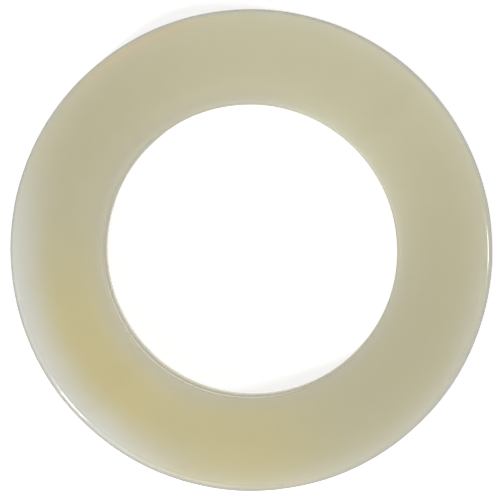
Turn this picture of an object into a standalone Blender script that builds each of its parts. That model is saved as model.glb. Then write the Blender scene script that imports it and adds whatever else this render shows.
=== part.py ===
"""Flat washer in natural nylon, small outside diameter series, for an M16 bolt.

The washer is a single ring, punched from nylon sheet. Frame: metres, +Z up, the
bore's axis on Z, and the origin at the centre of the bore on the lower bearing face.
"""

import math

import bpy

# Driving dimensions
OUTER_DIAMETER = 0.028
HOLE_DIAMETER = 0.017
THICKNESS = 0.0025

# Edge roundings. The punch draws the upper edges over, and leaves the lower ones crisper.
TOP_OUTER_ROUND = 0.00035
TOP_HOLE_ROUND = 0.0002
BOTTOM_ROUND = 0.00015

# Fineness of the solid
RING_STEPS = 96
ROUND_STEPS = 3
WELD_DISTANCE = 0.00001

NYLON_COLOUR = (0.60, 0.57, 0.40, 1.0)
NYLON_ROUGHNESS = 0.38
NYLON_IOR = 1.53


def clear_scene():
    for scene_object in list(bpy.data.objects):
        bpy.data.objects.remove(scene_object, do_unlink=True)


def rounded_corner(centre, radius, first_angle, last_angle):
    """Points of a quarter round in the XZ plane, from the first angle to the last."""
    points = []
    for step in range(ROUND_STEPS + 1):
        angle = math.radians(first_angle + (last_angle - first_angle) * step / ROUND_STEPS)
        x = centre[0] + radius * math.cos(angle)
        z = centre[1] + radius * math.sin(angle)
        points.append((x, 0.0, z))
    return points


def ring_profile():
    """The ring's section: over the top outwards, down the outside, back below, up the bore."""
    outside = OUTER_DIAMETER / 2
    bore = HOLE_DIAMETER / 2
    top_outer = (outside - TOP_OUTER_ROUND, THICKNESS - TOP_OUTER_ROUND)
    bottom_outer = (outside - BOTTOM_ROUND, BOTTOM_ROUND)
    bottom_hole = (bore + BOTTOM_ROUND, BOTTOM_ROUND)
    top_hole = (bore + TOP_HOLE_ROUND, THICKNESS - TOP_HOLE_ROUND)
    return (
        rounded_corner(top_outer, TOP_OUTER_ROUND, 90, 0)
        + rounded_corner(bottom_outer, BOTTOM_ROUND, 0, -90)
        + rounded_corner(bottom_hole, BOTTOM_ROUND, -90, -180)
        + rounded_corner(top_hole, TOP_HOLE_ROUND, 180, 90)
    )


def nylon_material():
    material = bpy.data.materials.new("natural_nylon")
    material.use_nodes = True
    shader = material.node_tree.nodes["Principled BSDF"]
    shader.inputs["Base Color"].default_value = NYLON_COLOUR
    shader.inputs["Roughness"].default_value = NYLON_ROUGHNESS
    shader.inputs["IOR"].default_value = NYLON_IOR
    shader.inputs["Metallic"].default_value = 0.0
    return material


def add_washer(collection):
    """The ring: its section turned a full circle about the bore's axis."""
    points = ring_profile()
    edges = [(i, (i + 1) % len(points)) for i in range(len(points))]
    section = bpy.data.meshes.new("washer")
    section.from_pydata(points, edges, [])
    section.materials.append(nylon_material())
    washer = bpy.data.objects.new("washer", section)
    collection.objects.link(washer)

    turn = washer.modifiers.new("turn_section", "SCREW")
    turn.axis = "Z"
    turn.angle = math.tau
    turn.screw_offset = 0.0
    turn.steps = RING_STEPS
    turn.render_steps = RING_STEPS
    turn.use_merge_vertices = True
    turn.merge_threshold = WELD_DISTANCE
    turn.use_smooth_shade = True

    washer.modifiers.new("keep_faces_flat", "WEIGHTED_NORMAL")
    return washer


clear_scene()
flat_washer = bpy.data.collections.new("flat_washer")
bpy.context.scene.collection.children.link(flat_washer)
add_washer(flat_washer)
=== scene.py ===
import math

import bmesh
import bpy
from mathutils import Matrix, Vector


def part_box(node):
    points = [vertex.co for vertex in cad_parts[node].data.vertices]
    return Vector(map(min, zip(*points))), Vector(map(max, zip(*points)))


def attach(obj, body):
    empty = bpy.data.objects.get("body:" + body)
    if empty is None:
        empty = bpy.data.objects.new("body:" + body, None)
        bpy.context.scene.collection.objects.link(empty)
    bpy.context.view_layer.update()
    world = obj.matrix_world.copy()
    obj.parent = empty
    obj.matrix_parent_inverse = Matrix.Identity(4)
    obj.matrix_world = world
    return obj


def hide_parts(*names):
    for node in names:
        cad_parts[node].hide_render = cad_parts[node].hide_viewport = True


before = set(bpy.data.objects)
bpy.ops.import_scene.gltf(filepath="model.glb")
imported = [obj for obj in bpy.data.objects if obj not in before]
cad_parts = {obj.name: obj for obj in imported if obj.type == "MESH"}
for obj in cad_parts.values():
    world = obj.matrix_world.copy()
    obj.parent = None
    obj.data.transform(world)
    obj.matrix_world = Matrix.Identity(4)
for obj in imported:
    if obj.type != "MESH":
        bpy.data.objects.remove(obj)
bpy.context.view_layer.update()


# The washer's ring
# One ring punched out of natural nylon sheet. The punch draws the upper edges over and
# rubs the upper part of both walls smooth. Below that the nylon tears, so the lower part
# of each wall stands back a hundredth of a millimetre, and has a rough, ragged band.

washer_low, washer_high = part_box("washer")
outer_radius = (washer_high.x - washer_low.x) / 2
sheet_thickness = washer_high.z - washer_low.z
bore_radius = min(corner.co.xy.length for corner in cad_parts["washer"].data.vertices)
ring_sides = 360
outer_roll_over = 0.00035
bore_roll_over = 0.0002
lower_edge_break = 0.00015
lower_bore_break = 0.00005
edge_segments = 8
support_width = 0.00012
face_rings = 14
tear_row = 0.0009
tear_step = 0.00003
tear_depth = 0.00001
wall_rows = (0.0004, 0.00065, tear_row, tear_row + tear_step, 0.0012, 0.0015, 0.0018)
rim_reach = 0.0015
least_unevenness = 0.3

bpy.ops.object.select_all(action="DESELECT")
bpy.ops.mesh.primitive_cylinder_add(
    vertices=ring_sides,
    radius=outer_radius,
    depth=sheet_thickness,
    end_fill_type="NGON",
    location=(0.0, 0.0, washer_low.z + sheet_thickness / 2),
)
nylon_washer = bpy.context.object
nylon_washer.name = "nylon_washer"
bpy.ops.object.transform_apply(location=True, rotation=True, scale=True)


def pick(kind, wanted):
    """Selects only those points, edges or faces of the piece in edit mode that wanted accepts."""
    bpy.ops.mesh.select_mode(type=kind)
    bpy.ops.mesh.select_all(action="DESELECT")
    shape = bmesh.from_edit_mesh(bpy.context.object.data)
    elements = {"VERT": shape.verts, "EDGE": shape.edges, "FACE": shape.faces}[kind]
    for element in elements:
        if wanted(element):
            element.select_set(True)
    bmesh.update_edit_mesh(bpy.context.object.data)


def on_circle(radius, height):
    """A test for the edges that lie along one circle of the ring, at a radius and height."""
    def accepts(edge):
        return all(
            abs(corner.co.xy.length - radius) < 1e-5 and abs(corner.co.z - height) < 1e-6
            for corner in edge.verts
        )
    return accepts


# The blank's two ends are inset to the hole's size, and the hole is bridged through.
bpy.ops.object.mode_set(mode="EDIT")
pick("FACE", lambda face: abs(face.normal.z) > 0.9)
bpy.ops.mesh.inset(thickness=(outer_radius - bore_radius) * math.cos(math.pi / ring_sides))
bpy.ops.mesh.bridge_edge_loops()

for radius, height, rounding in (
    (outer_radius, washer_high.z, outer_roll_over),
    (bore_radius, washer_high.z, bore_roll_over),
    (outer_radius, washer_low.z, lower_edge_break),
    (bore_radius, washer_low.z, lower_bore_break),
):
    pick("EDGE", on_circle(radius, height))
    bpy.ops.mesh.bevel(offset=rounding, segments=edge_segments, profile=0.5)

# A narrow band at the rim of each flat face keeps the middle of it flat in the light, and
# rings cut across the face give it points enough to be uneven.
pick("FACE", lambda face: abs(face.normal.z) > 0.999 and face.calc_area() > 1e-7)
bpy.ops.mesh.inset(thickness=support_width)
pick("EDGE", lambda edge: edge.calc_length() > 0.003)
bpy.ops.mesh.subdivide(number_cuts=face_rings)

# Rows around both walls, two of them close together where the smooth band ends.
for height in wall_rows:
    bpy.ops.mesh.select_all(action="SELECT")
    bpy.ops.mesh.bisect(
        plane_co=(0.0, 0.0, washer_low.z + height),
        plane_no=(0.0, 0.0, 1.0),
    )


def in_torn_band(corner):
    """Whether a point lies on the lower, torn part of either wall."""
    distance = corner.co.xy.length
    on_outer_wall = distance > outer_radius - lower_edge_break
    on_bore_wall = distance < bore_radius + lower_edge_break
    is_low = corner.co.z < washer_low.z + tear_row + tear_step / 2
    return (on_outer_wall or on_bore_wall) and is_low


def beyond_middle(corner):
    """Whether a point lies in the outer half of the ring's width."""
    return corner.co.xy.length > (outer_radius + bore_radius) / 2


pick("VERT", lambda corner: in_torn_band(corner) and beyond_middle(corner))
drawn_in = 1 - tear_depth / outer_radius
bpy.ops.transform.resize(value=(drawn_in, drawn_in, 1.0), center_override=(0.0, 0.0, 0.0))
pick("VERT", lambda corner: in_torn_band(corner) and not beyond_middle(corner))
flared_out = 1 + tear_depth / bore_radius
bpy.ops.transform.resize(value=(flared_out, flared_out, 1.0), center_override=(0.0, 0.0, 0.0))

bpy.ops.mesh.select_all(action="SELECT")
bpy.ops.mesh.normals_make_consistent(inside=False)
bpy.ops.object.mode_set(mode="OBJECT")
bpy.ops.object.shade_smooth_by_angle(angle=math.radians(35))

# What is torn is kept with the mesh, for the finish below to follow.
torn_wall = nylon_washer.data.attributes.new("torn_wall", "FLOAT", "POINT")
for corner in nylon_washer.data.vertices:
    torn_wall.data[corner.index].value = 1.0 if in_torn_band(corner) else 0.0

# The end of the smooth band wanders up and down, and nothing punched is quite round or flat.
tear_line = nylon_washer.vertex_groups.new(name="tear_line")
for corner in nylon_washer.data.vertices:
    if abs(corner.co.z - washer_low.z - tear_row) < 2 * tear_step:
        tear_line.add([corner.index], 1.0, "REPLACE")
rims = nylon_washer.vertex_groups.new(name="rims")
for corner in nylon_washer.data.vertices:
    from_rim = min(outer_radius - corner.co.xy.length, corner.co.xy.length - bore_radius)
    rims.add([corner.index], max(least_unevenness, 1 - from_rim / rim_reach), "REPLACE")

for name, direction, group, grain, strength in (
    ("ragged_tear", "Z", "tear_line", 0.0007, 0.0003),
    ("uneven_sheet", "NORMAL", "rims", 0.0035, 0.00003),
):
    unevenness = bpy.data.textures.new(name, "CLOUDS")
    unevenness.noise_scale = grain
    unevenness.noise_depth = 1
    push = nylon_washer.modifiers.new(name, "DISPLACE")
    push.texture = unevenness
    push.texture_coords = "LOCAL"
    push.direction = direction
    push.vertex_group = group
    push.strength = strength
    push.mid_level = 0.5
    bpy.ops.object.modifier_apply(modifier=name)

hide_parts("washer")
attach(nylon_washer, "root")


# The washer's finish
# Nylon with no dye in it: milky, slightly see-through and a warm ivory. Over soft stretches its
# colour carries painted light: painted glow where lamplight scatters into the nylon, painted
# shade on one stretch, along both edges and on the walls, and a painted highlight line in the
# bore. The strain of the punch whitens the outer rim too. The faces have a fine soft grain.
# The walls have upright drag lines, and are rough and torn low down.

scatter_depth = 0.016
scatter_by_colour = (1.0, 0.95, 0.8)
# Colours of the nylon; the glow, shade and highlight colours among them are painted light.
least_ivory = (0.376, 0.361, 0.266, 1.0)
most_ivory = (0.396, 0.381, 0.286, 1.0)
glow_yellow = (0.442, 0.393, 0.221, 1.0)
glow_ivory = (0.434, 0.419, 0.310, 1.0)
shade_ivory = (0.362, 0.350, 0.262, 1.0)
strain_and_glow_white = (0.455, 0.470, 0.470, 1.0)
bore_white = (0.430, 0.430, 0.390, 1.0)
glow_tan = (0.460, 0.372, 0.245, 1.0)
outer_edge_shade_grey = (0.340, 0.345, 0.335, 1.0)
bore_shade_ivory = (0.335, 0.325, 0.262, 1.0)
shaded_wall_ivory = (0.360, 0.340, 0.265, 1.0)
torn_shade_brown = (0.250, 0.236, 0.185, 1.0)
highlight_white = (0.970, 0.970, 0.950, 1.0)
grain_height = 0.0000045
drag_line_height = 0.000012
tear_relief = 0.00004
patch_height = 0.002

natural_nylon = bpy.data.materials.new("natural_nylon")
natural_nylon.use_nodes = True
nodes, links = natural_nylon.node_tree.nodes, natural_nylon.node_tree.links
nylon = nodes["Principled BSDF"]
nylon.subsurface_method = "RANDOM_WALK"
nylon.inputs["Subsurface Weight"].default_value = 1.0
nylon.inputs["Subsurface Radius"].default_value = scatter_by_colour
nylon.inputs["Subsurface Scale"].default_value = scatter_depth
nylon.inputs["IOR"].default_value = 1.53
nylon.inputs["Specular IOR Level"].default_value = 0.75
nylon_washer.data.materials.clear()
nylon_washer.data.materials.append(natural_nylon)

place = nodes.new("ShaderNodeTexCoord").outputs["Object"]


def noise(grain, detail, stretch=(1.0, 1.0, 1.0), shift=(0.0, 0.0, 0.0)):
    """A cloudy pattern from 0 to 1, its grain in metres, stretched along the ring's axes."""
    mapping = nodes.new("ShaderNodeMapping")
    mapping.inputs["Location"].default_value = shift
    mapping.inputs["Scale"].default_value = stretch
    cloud = nodes.new("ShaderNodeTexNoise")
    cloud.inputs["Scale"].default_value = 1 / grain
    cloud.inputs["Detail"].default_value = detail
    links.new(place, mapping.inputs["Vector"])
    links.new(mapping.outputs["Vector"], cloud.inputs["Vector"])
    return cloud.outputs["Fac"]


def reshape(source, from_low, from_high, to_low, to_high, smooth=False):
    """Stretches a value from one range to another, and holds it there."""
    stretch = nodes.new("ShaderNodeMapRange")
    stretch.interpolation_type = "SMOOTHSTEP" if smooth else "LINEAR"
    for socket, value in (
        ("From Min", from_low),
        ("From Max", from_high),
        ("To Min", to_low),
        ("To Max", to_high),
    ):
        stretch.inputs[socket].default_value = value
    links.new(source, stretch.inputs["Value"])
    return stretch.outputs["Result"]


def combine(operation, first, second):
    """Adds, multiplies or otherwise joins two values, either of which may be a plain number."""
    arithmetic = nodes.new("ShaderNodeMath")
    arithmetic.operation = operation
    for socket, value in zip(arithmetic.inputs, (first, second)):
        if isinstance(value, float):
            socket.default_value = value
        else:
            links.new(value, socket)
    return arithmetic.outputs["Value"]


def both(first, second):
    """Two amounts multiplied, so that it is strong only where both are."""
    return combine("MULTIPLY", first, second)


def tint(amount, colour_from, colour_to):
    """A colour between two, either of which may be an earlier colour's socket."""
    mix = nodes.new("ShaderNodeMix")
    mix.data_type = "RGBA"
    links.new(amount, mix.inputs[0])
    for socket, colour in ((mix.inputs[6], colour_from), (mix.inputs[7], colour_to)):
        if isinstance(colour, tuple):
            socket.default_value = colour
        else:
            links.new(colour, socket)
    return mix.outputs[2]


flatten = nodes.new("ShaderNodeVectorMath")
flatten.operation = "MULTIPLY"
flatten.inputs[1].default_value = (1.0, 1.0, 0.0)
links.new(place, flatten.inputs[0])
radius_node = nodes.new("ShaderNodeVectorMath")
radius_node.operation = "LENGTH"
links.new(flatten.outputs["Vector"], radius_node.inputs[0])
from_axis = radius_node.outputs["Value"]


def towards_rim(start, end, most=1.0, smooth=True):
    """An amount that grows from 0 to most outwards, from start to end inside the rim."""
    return reshape(from_axis, outer_radius - start, outer_radius - end, 0.0, most, smooth)


def towards_bore(start, end, most=1.0, smooth=True):
    """An amount that grows from 0 to most inwards, from start to end outside the bore."""
    return reshape(from_axis, bore_radius + start, bore_radius + end, 0.0, most, smooth)


def patch(x, y, reach, starts=0.0, full=1.0, outside=0.0, inside=1.0, smooth=True):
    """A soft round patch near the upper face, centred at x and y, out to its reach in metres."""
    centre = (x, y, patch_height)
    mapping = nodes.new("ShaderNodeMapping")
    mapping.inputs["Location"].default_value = tuple(-along / reach for along in centre)
    mapping.inputs["Scale"].default_value = (1 / reach, 1 / reach, 1 / reach)
    fade = nodes.new("ShaderNodeTexGradient")
    fade.gradient_type = "SPHERICAL"
    links.new(place, mapping.inputs["Vector"])
    links.new(mapping.outputs["Vector"], fade.inputs["Vector"])
    return reshape(fade.outputs["Fac"], starts, full, outside, inside, smooth)


# Soft clouds in the nylon, and over broad stretches painted light: a yellow painted glow, a
# paler painted glow and a darker painted shade.
mottle = reshape(noise(0.0014, 2.0, shift=(0.02, 0.01, 0.0)), 0.15, 0.85, 0.0, 1.0)
ivory = tint(mottle, least_ivory, most_ivory)
# Painted glow: yellow where light from the near-left lamps scatters into the nylon.
yellow_glow = combine(
    "MAXIMUM",
    patch(-0.0092, -0.0074, 0.0108, full=0.8),
    patch(-0.001, -0.0105, 0.0085, full=0.8, inside=0.7),
)
yellow_glow = both(yellow_glow, reshape(noise(0.004, 2.0), 0.3, 0.7, 0.8, 1.0))
ivory = tint(yellow_glow, ivory, glow_yellow)
# Painted glow: a paler, lit-looking stretch over the top of the ring.
top_glow = patch(0.0030, 0.0098, 0.0138, full=0.8)
ivory = tint(top_glow, ivory, glow_ivory)
# Painted shade: a darker stretch on the near right, where the lamps reach less.
near_right_shade = patch(0.0095, -0.0062, 0.0132, inside=0.8)
ivory = tint(near_right_shade, ivory, shade_ivory)

# The outer rim is whitened, broadly and patchily on one side and thinly beside it: partly the
# punch's strain whitening, partly a painted bluish-white glow where lamplight enters the rim.
strain_and_glow = both(
    towards_rim(0.0027, 0.0002),
    patch(-0.0127, -0.0062, 0.015, starts=0.1, full=0.65, inside=0.9),
)
thin_strain_and_glow = both(
    towards_rim(0.0016, 0.0003, most=0.18),
    patch(0.0060, -0.0088, 0.018, starts=0.15, full=0.5),
)
strain_and_glow = combine("MAXIMUM", strain_and_glow, thin_strain_and_glow)
strain_and_glow = both(strain_and_glow, reshape(noise(0.003, 2.0), 0.3, 0.7, 0.8, 1.0))
ivory = tint(strain_and_glow, ivory, strain_and_glow_white)

# A painted warm glow on one stretch of the outer rim, as of light come through the nylon, and
# one stretch of the bore's rim is whiter.
warm_rim_glow = both(
    patch(-0.0065, 0.0122, 0.0062, full=0.6, inside=0.6),
    towards_rim(0.0011, 0.0004),
)
ivory = tint(warm_rim_glow, ivory, glow_tan)
bore_strain = both(
    towards_bore(0.0018, 0.0003, most=0.35),
    patch(-0.0062, -0.0062, 0.006, full=0.6, smooth=False),
)
ivory = tint(bore_strain, ivory, bore_white)

# Painted shade on both edges: on the outer one a fine grey line, on the bore's a broader band,
# apart from one side of it.
ivory = tint(towards_rim(0.0002, 0.0001), ivory, outer_edge_shade_grey)
bore_edge_shade = both(
    towards_bore(0.0012, 0.0002, most=0.55),
    patch(0.0070, 0.0052, 0.0095, starts=0.1, full=0.6, outside=1.0, inside=0.0),
)
ivory = tint(bore_edge_shade, ivory, bore_shade_ivory)

# Painted shade darkens the walls, and more deeply the torn band low down.
facing = nodes.new("ShaderNodeNewGeometry").outputs["Normal"]
facing_split = nodes.new("ShaderNodeSeparateXYZ")
links.new(facing, facing_split.inputs["Vector"])
slope = combine("ABSOLUTE", facing_split.outputs["Z"], 0.0)
upright = reshape(slope, 0.6, 0.1, 0.0, 1.0, smooth=True)
ivory = tint(both(upright, 0.85), ivory, shaded_wall_ivory)
torn_attribute = nodes.new("ShaderNodeAttribute")
torn_attribute.attribute_name = "torn_wall"
torn = torn_attribute.outputs["Fac"]
ivory = tint(both(torn, 0.6), ivory, torn_shade_brown)

# A fine painted highlight line, just below the bore's upper edge, strongest on the side of the
# yellow painted glow.
place_split = nodes.new("ShaderNodeSeparateXYZ")
links.new(place, place_split.inputs["Vector"])
height = place_split.outputs["Z"]
top = washer_high.z
bore_highlight = both(
    reshape(height, top - 0.00035, top - 0.00028, 0.0, 1.0, smooth=True),
    reshape(height, top - 0.00009, top - 0.00012, 0.0, 1.0, smooth=True),
)
bore_highlight = both(bore_highlight, towards_bore(0.0002, 0.0001, smooth=False))
bore_highlight = both(bore_highlight, patch(-0.0045, -0.0072, 0.009, starts=0.05, full=0.6, outside=0.15))
ivory = tint(bore_highlight, ivory, highlight_white)
links.new(ivory, nylon.inputs["Base Color"])

# Satin faces with faint clouds in the gloss, two stretches of the outer rim rubbed glossy,
# and a duller bore rim and torn band.
gloss = reshape(noise(0.0016, 4.0, shift=(0.0, 0.03, 0.0)), 0.2, 0.8, 0.27, 0.37)
rubbed = combine(
    "MAXIMUM",
    patch(-0.0078, -0.0116, 0.011, full=0.3),
    patch(0.0139, -0.0006, 0.0085, full=0.6),
)
rubbed = both(towards_rim(0.0005, 0.0003), rubbed)
scuffed = towards_bore(0.0004, 0.00025)
polish = combine("ADD", both(rubbed, -0.21), both(scuffed, 0.15))
roughness = combine("ADD", combine("ADD", gloss, polish), both(torn, 0.2))
links.new(roughness, nylon.inputs["Roughness"])

# Relief in metres: soft grain all over, drag lines on the walls, and tears low on them.
soft_grain = both(noise(0.0004, 3.0), grain_height)
drag_lines = both(noise(0.00022, 2.0, stretch=(1.0, 1.0, 0.04)), drag_line_height)
drag_lines = both(drag_lines, upright)
tears = both(noise(0.00018, 5.0, stretch=(1.0, 1.0, 0.6)), tear_relief)
tears = both(tears, torn)
relief = nodes.new("ShaderNodeBump")
relief.inputs["Strength"].default_value = 1.0
relief.inputs["Distance"].default_value = 1.0
relief_height = combine("ADD", combine("ADD", soft_grain, drag_lines), tears)
links.new(relief_height, relief.inputs["Height"])
links.new(relief.outputs["Normal"], nylon.inputs["Normal"])


# The floor
# A plain sheet of white paper, softly lit from below, a hair under the washer's lower face.
# It is left out of mirror reflections, so the washer's walls don't reflect its glow.

floor_gap = 0.00005
floor_glow = 0.65

bpy.ops.object.select_all(action="DESELECT")
bpy.ops.mesh.primitive_plane_add(size=2.0, location=(0.0, 0.0, washer_low.z - floor_gap))
floor = bpy.context.object
floor.name = "paper_floor"
floor.visible_glossy = False
paper = bpy.data.materials.new("white_paper")
paper.use_nodes = True
paper_shader = paper.node_tree.nodes["Principled BSDF"]
paper_shader.inputs["Base Color"].default_value = (0.93, 0.93, 0.93, 1.0)
paper_shader.inputs["Roughness"].default_value = 0.9
paper_shader.inputs["Emission Color"].default_value = (1.0, 1.0, 1.0, 1.0)
paper_shader.inputs["Emission Strength"].default_value = floor_glow
floor.data.materials.append(paper)


# The studio light
# A narrow strip and a dim softbox on the near left, broad dim softboxes on the left and on
# the far right, a narrow strip on the right, and an even pale surround.

light_distance = 0.3
surround_brightness = 0.25


def add_soft_light(name, azimuth, elevation, width, height, power):
    """A flat light that faces the washer, its azimuth counted from +X towards +Y."""
    towards = Vector((
        math.cos(math.radians(azimuth)) * math.cos(math.radians(elevation)),
        math.sin(math.radians(azimuth)) * math.cos(math.radians(elevation)),
        math.sin(math.radians(elevation)),
    ))
    bpy.ops.object.light_add(type="AREA", location=towards * light_distance)
    light = bpy.context.object
    light.name = name
    light.rotation_euler = towards.to_track_quat("Z", "Y").to_euler()
    light.data.shape = "RECTANGLE"
    light.data.size = width
    light.data.size_y = height
    light.data.energy = power


add_soft_light("near_left_strip", 222.5, 48, 0.026, 0.11, 0.18)
add_soft_light("near_left_softbox", 247, 50, 0.10, 0.12, 0.07)
add_soft_light("left_softbox", 185, 50, 0.25, 0.25, 0.03)
add_soft_light("far_right_softbox", 57, 50, 0.25, 0.25, 0.05)
add_soft_light("right_strip", 354, 51, 0.028, 0.10, 0.125)

surround = bpy.data.worlds.new("studio")
bpy.context.scene.world = surround
surround.use_nodes = True
background = surround.node_tree.nodes["Background"]
background.inputs["Color"].default_value = (1.0, 1.0, 1.0, 1.0)
background.inputs["Strength"].default_value = surround_brightness
bpy.context.scene.view_settings.view_transform = "Standard"


# The camera
# It looks almost straight down on the upper face, from a little to the right of the
# ring's axis and beyond it.

camera_distance = 0.2
camera_tilt = math.radians(5.3)
camera_azimuth = math.radians(50)
face_centre = Vector((0.0, 0.0001, washer_high.z))
frame_width = 0.02894
away = Vector((
    math.sin(camera_tilt) * math.cos(camera_azimuth),
    math.sin(camera_tilt) * math.sin(camera_azimuth),
    math.cos(camera_tilt),
))
across = Vector((0.0, 1.0, 0.0)).cross(away).normalized()
upwards = away.cross(across)
bpy.ops.object.camera_add()
camera = bpy.context.object
camera.matrix_world = Matrix.Translation(face_centre + away * camera_distance) @ Matrix(
    (across, upwards, away)
).transposed().to_4x4()
camera.data.lens = camera.data.sensor_width * camera_distance / frame_width
camera.data.clip_start = 0.001
bpy.context.scene.camera = camera
